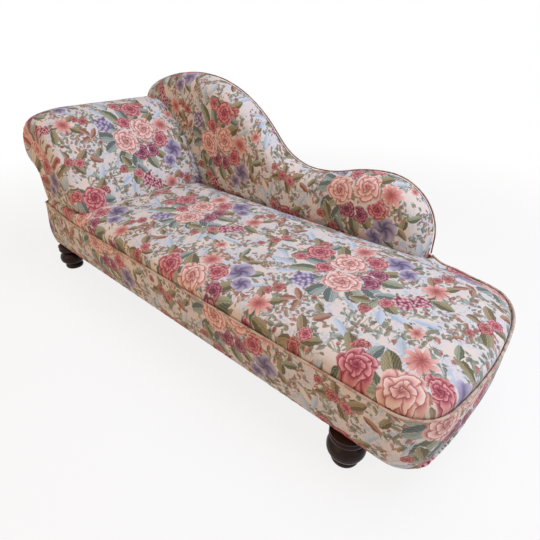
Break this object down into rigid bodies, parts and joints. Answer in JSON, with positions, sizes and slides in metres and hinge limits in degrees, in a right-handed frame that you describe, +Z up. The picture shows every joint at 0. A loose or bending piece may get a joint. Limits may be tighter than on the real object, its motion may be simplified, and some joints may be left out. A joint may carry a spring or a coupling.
{
  "type": "fainting couch",
  "caption": "Upholstered fainting couch with a scroll headrest, a serpentine back sweeping down to a low hump, a crowned seat with a bowed foot end, a piped border and turned bun feet.",
  "frame": {"origin": "on the floor, under the middle of the couch's bounding box", "axes": "+X towards the foot end along the length, +Y towards the back, so the open front faces -Y, +Z up"},
  "size_m": [1.827, 0.699, 0.7741],
  "materials": {
    "floral_tapestry": "woven floral tapestry on a pale cream ground",
    "piping_cloth": "bias-cut self-fabric cord",
    "padding": "layered felt and fibre stuffing",
    "frame_timber": "raw beech",
    "plywood": "raw plywood",
    "dark_turned_wood": "dark stained, satin lacquer",
    "spring_steel": "oiled steel",
    "jute": "coarse jute weave",
    "dust_cloth": "black spun cloth",
    "glide_plastic": "matte"
  },
  "bodies": {
    "root": {"back_bottom_rail_head": "frame_timber", "back_bottom_rail_toe": "frame_timber", "back_cover": "floral_tapestry", "back_outside_cover": "floral_tapestry", "back_pad": "padding", "back_panel": "plywood", "back_post_head": "frame_timber", "back_post_middle": "frame_timber", "back_post_toe": "frame_timber", "back_rear_wadding": "padding", "back_welt": "piping_cloth", "base_piping": "piping_cloth", "border_cover_back": "floral_tapestry", "border_cover_foot_front_corner": "floral_tapestry", "border_cover_foot_middle": "floral_tapestry", "border_cover_foot_rear_corner": "floral_tapestry", "border_cover_front": "floral_tapestry", "border_cover_head": "floral_tapestry", "border_padding_foot_front_corner": "padding", "border_padding_foot_middle": "padding", "border_padding_foot_rear_corner": "padding", "border_padding_front": "padding", "border_padding_head": "padding", "corner_block_head_front": "frame_timber", "corner_block_head_rear": "frame_timber", "corner_block_toe_front": "frame_timber", "corner_block_toe_rear": "frame_timber", "cross_rail_foot": "frame_timber", "cross_rail_head": "frame_timber", "cross_rail_middle": "frame_timber", "dust_cover": "dust_cloth", "facing_seam_cord": "piping_cloth", "foot_glides": "glide_plastic", "foot_head_front": "dark_turned_wood", "foot_head_rear": "dark_turned_wood", "foot_rail_front_corner": "frame_timber", "foot_rail_middle": "frame_timber", "foot_rail_rear_corner": "frame_timber", "foot_toe_front": "dark_turned_wood", "foot_toe_rear": "dark_turned_wood", "foot_webbing": "jute", "hanger_bolts": "spring_steel", "headrest_cover": "floral_tapestry", "headrest_facing": "floral_tapestry", "headrest_head_rail": "frame_timber", "headrest_outside_cover": "floral_tapestry", "headrest_pad": "padding", "headrest_seat_rail": "frame_timber", "headrest_top_rail": "frame_timber", "rail_back": "frame_timber", "rail_front": "frame_timber", "rail_head": "frame_timber", "scroll_board_front": "frame_timber", "scroll_board_rear": "frame_timber", "seat_cover": "floral_tapestry", "seat_hessian": "jute", "seat_pad": "padding", "seat_springs": "spring_steel", "spring_clips": "spring_steel"}
  },
  "joints": []
}
